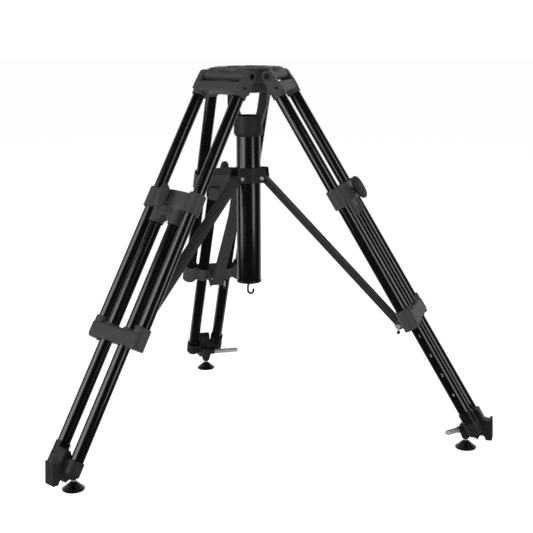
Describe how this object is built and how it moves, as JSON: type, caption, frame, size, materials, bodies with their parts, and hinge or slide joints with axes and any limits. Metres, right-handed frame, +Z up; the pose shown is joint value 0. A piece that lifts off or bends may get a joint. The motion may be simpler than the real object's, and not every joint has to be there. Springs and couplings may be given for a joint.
{
  "type": "heavy-duty video tripod",
  "caption": "Camera tripod with twin-tube telescopic legs, a half-ball bowl top, a hanging centre column with a sliding spreader, swivel feet with pads and spikes.",
  "frame": {"origin": "on the column axis at the centroid, 500 mm above the floor with the legs as shown, 342.6 mm below the bowl rim", "axes": "+Z up along the centre column, +X towards leg 1, +Y to the left of leg 1; legs 1, 2 and 3 stand at 0, 120 and 240 degrees"},
  "size_m": [0.861, 0.9762, 0.8426],
  "materials": {
    "casting": "charcoal fine-textured powder coat on a die casting",
    "tube": "gloss black anodised",
    "bowl": "satin black anodised",
    "brace": "matte dark grey paint",
    "knob": "soft-touch dark grey moulding",
    "steel": "polished steel",
    "bolt": "black oxide steel",
    "rubber": "black moulded rubber",
    "cap": "black moulded plastic",
    "hook": "black coated wire"
  },
  "bodies": {
    "tripod_top": {"top_casting": "casting", "bowl_ring": "bowl", "column_yoke": "casting", "centre_column": "tube", "column_end_cap": "cap", "hinge_bolt_1": "bolt", "hinge_bolt_2": "bolt", "hinge_bolt_3": "bolt"},
    "hook": {"ballast_hook": "hook"},
    "hub": {"spreader_hub": "casting", "hub_pin_1": "steel", "hub_pin_2": "steel", "hub_pin_3": "steel"},
    "upper_leg_1": {"shoulder_1": "casting", "outer_tube_1_cw": "tube", "outer_tube_1_ccw": "tube", "mid_bracket_1": "casting"},
    "upper_leg_2": {"shoulder_2": "casting", "outer_tube_2_cw": "tube", "outer_tube_2_ccw": "tube", "mid_bracket_2": "casting"},
    "upper_leg_3": {"shoulder_3": "casting", "outer_tube_3_cw": "tube", "outer_tube_3_ccw": "tube", "mid_bracket_3": "casting"},
    "brace_1": {"brace_1": "brace"},
    "brace_lever_1": {"brace_pin_lever_1": "steel"},
    "lower_leg_1": {"leg_clamp_1": "casting", "inner_tube_1_cw": "tube", "inner_tube_1_ccw": "tube", "foot_casting_1": "casting", "foot_bumper_1": "rubber"},
    "clamp_knob_1": {"clamp_knob_1": "knob"},
    "foot_swivel_1": {"foot_boss_1": "casting", "spike_1": "steel"},
    "foot_pad_1": {"foot_pad_1": "rubber"},
    "brace_2": {"brace_2": "brace"},
    "brace_lever_2": {"brace_pin_lever_2": "steel"},
    "lower_leg_2": {"leg_clamp_2": "casting", "inner_tube_2_cw": "tube", "inner_tube_2_ccw": "tube", "foot_casting_2": "casting", "foot_bumper_2": "rubber"},
    "clamp_knob_2": {"clamp_knob_2": "knob"},
    "foot_swivel_2": {"foot_boss_2": "casting", "spike_2": "steel"},
    "foot_pad_2": {"foot_pad_2": "rubber"},
    "brace_3": {"brace_3": "brace"},
    "brace_lever_3": {"brace_pin_lever_3": "steel"},
    "lower_leg_3": {"leg_clamp_3": "casting", "inner_tube_3_cw": "tube", "inner_tube_3_ccw": "tube", "foot_casting_3": "casting", "foot_bumper_3": "rubber"},
    "clamp_knob_3": {"clamp_knob_3": "knob"},
    "foot_swivel_3": {"foot_boss_3": "casting", "spike_3": "steel"},
    "foot_pad_3": {"foot_pad_3": "rubber"}
  },
  "joints": [
    {"name": "leg_1_fold", "type": "hinge", "parent": "tripod_top", "child": "upper_leg_1", "pos_m": [0.0675, 0, 0.3223], "axis": [0, 1, 0], "range_deg": [0, 25]},
    {"name": "leg_2_fold", "type": "hinge", "parent": "tripod_top", "child": "upper_leg_2", "pos_m": [-0.03375, 0.05846, 0.3223], "axis": [-0.866, -0.5, 0], "range_deg": [0, 25]},
    {"name": "leg_3_fold", "type": "hinge", "parent": "tripod_top", "child": "upper_leg_3", "pos_m": [-0.03375, -0.05846, 0.3223], "axis": [0.866, -0.5, 0], "range_deg": [0, 25]},
    {"name": "hub_slide", "type": "slide", "parent": "tripod_top", "child": "hub", "axis": [0, 0, 1], "range_m": [0, 0.05771]},
    {"name": "brace_1_fold", "type": "hinge", "parent": "hub", "child": "brace_1", "pos_m": [0.0375, 0, 0.0846], "axis": [0, 1, 0], "range_deg": [0, 37.88]},
    {"name": "brace_lever_1_turn", "type": "hinge", "parent": "upper_leg_1", "child": "brace_lever_1", "pos_m": [0.35186, 0, -0.23549], "axis": [0, 1, 0], "range_deg": [-40, 40]},
    {"name": "leg_1_extend", "type": "slide", "parent": "upper_leg_1", "child": "lower_leg_1", "axis": [0.506, 0, -0.8625], "range_m": [-0.208, 0.222], "stiffness_N_per_m": 15000},
    {"name": "clamp_knob_1_turn", "type": "hinge", "parent": "lower_leg_1", "child": "clamp_knob_1", "pos_m": [0.25328, 0, 0.06493], "axis": [0.8625, 0, 0.506], "range_deg": [0, 270]},
    {"name": "foot_1_swivel", "type": "hinge", "parent": "lower_leg_1", "child": "foot_swivel_1", "pos_m": [0.4965, 0, -0.46], "axis": [0, 0, 1], "range_deg": [-140, 40]},
    {"name": "foot_pad_1_tilt", "type": "hinge", "parent": "foot_swivel_1", "child": "foot_pad_1", "pos_m": [0.4965, 0, -0.489], "axis": [0, 1, 0], "range_deg": [-15, 15]},
    {"name": "brace_2_fold", "type": "hinge", "parent": "hub", "child": "brace_2", "pos_m": [-0.01875, 0.03248, 0.0846], "axis": [-0.866, -0.5, 0], "range_deg": [0, 37.88]},
    {"name": "brace_lever_2_turn", "type": "hinge", "parent": "upper_leg_2", "child": "brace_lever_2", "pos_m": [-0.17593, 0.30472, -0.23549], "axis": [-0.866, -0.5, 0], "range_deg": [-40, 40]},
    {"name": "leg_2_extend", "type": "slide", "parent": "upper_leg_2", "child": "lower_leg_2", "axis": [-0.253, 0.4382, -0.8625], "range_m": [-0.208, 0.222], "stiffness_N_per_m": 15000},
    {"name": "clamp_knob_2_turn", "type": "hinge", "parent": "lower_leg_2", "child": "clamp_knob_2", "pos_m": [-0.12664, 0.21935, 0.06493], "axis": [-0.4313, 0.747, 0.506], "range_deg": [0, 270]},
    {"name": "foot_2_swivel", "type": "hinge", "parent": "lower_leg_2", "child": "foot_swivel_2", "pos_m": [-0.24825, 0.42998, -0.46], "axis": [0, 0, 1], "range_deg": [-180, 0]},
    {"name": "foot_pad_2_tilt", "type": "hinge", "parent": "foot_swivel_2", "child": "foot_pad_2", "pos_m": [-0.24825, 0.42998, -0.489], "axis": [-0.866, -0.5, 0], "range_deg": [-15, 15]},
    {"name": "brace_3_fold", "type": "hinge", "parent": "hub", "child": "brace_3", "pos_m": [-0.01875, -0.03248, 0.0846], "axis": [0.866, -0.5, 0], "range_deg": [0, 37.88]},
    {"name": "brace_lever_3_turn", "type": "hinge", "parent": "upper_leg_3", "child": "brace_lever_3", "pos_m": [-0.17593, -0.30472, -0.23549], "axis": [0.866, -0.5, 0], "range_deg": [-40, 40]},
    {"name": "leg_3_extend", "type": "slide", "parent": "upper_leg_3", "child": "lower_leg_3", "axis": [-0.253, -0.4382, -0.8625], "range_m": [-0.208, 0.222], "stiffness_N_per_m": 15000},
    {"name": "clamp_knob_3_turn", "type": "hinge", "parent": "lower_leg_3", "child": "clamp_knob_3", "pos_m": [-0.12664, -0.21935, 0.06493], "axis": [-0.4313, -0.747, 0.506], "range_deg": [0, 270]},
    {"name": "foot_3_swivel", "type": "hinge", "parent": "lower_leg_3", "child": "foot_swivel_3", "pos_m": [-0.24825, -0.42998, -0.46], "axis": [0, 0, 1], "range_deg": [-140, 40]},
    {"name": "foot_pad_3_tilt", "type": "hinge", "parent": "foot_swivel_3", "child": "foot_pad_3", "pos_m": [-0.24825, -0.42998, -0.489], "axis": [0.866, -0.5, 0], "range_deg": [-15, 15]},
    {"name": "hook_swivel", "type": "hinge", "parent": "tripod_top", "child": "hook", "pos_m": [0, 0, -0.1587], "axis": [0, 0, 1], "continuous": true}
  ],
  "couplings": [
    {"joint": "leg_2_fold", "follows": "leg_1_fold", "ratio": 1},
    {"joint": "leg_3_fold", "follows": "leg_1_fold", "ratio": 1},
    {"joint": "hub_slide", "follows": "leg_1_fold", "m_per_rad": 0.13204},
    {"joint": "brace_1_fold", "follows": "leg_1_fold", "ratio": 1.5131},
    {"joint": "brace_2_fold", "follows": "leg_1_fold", "ratio": 1.5131},
    {"joint": "brace_3_fold", "follows": "leg_1_fold", "ratio": 1.5131}
  ]
}
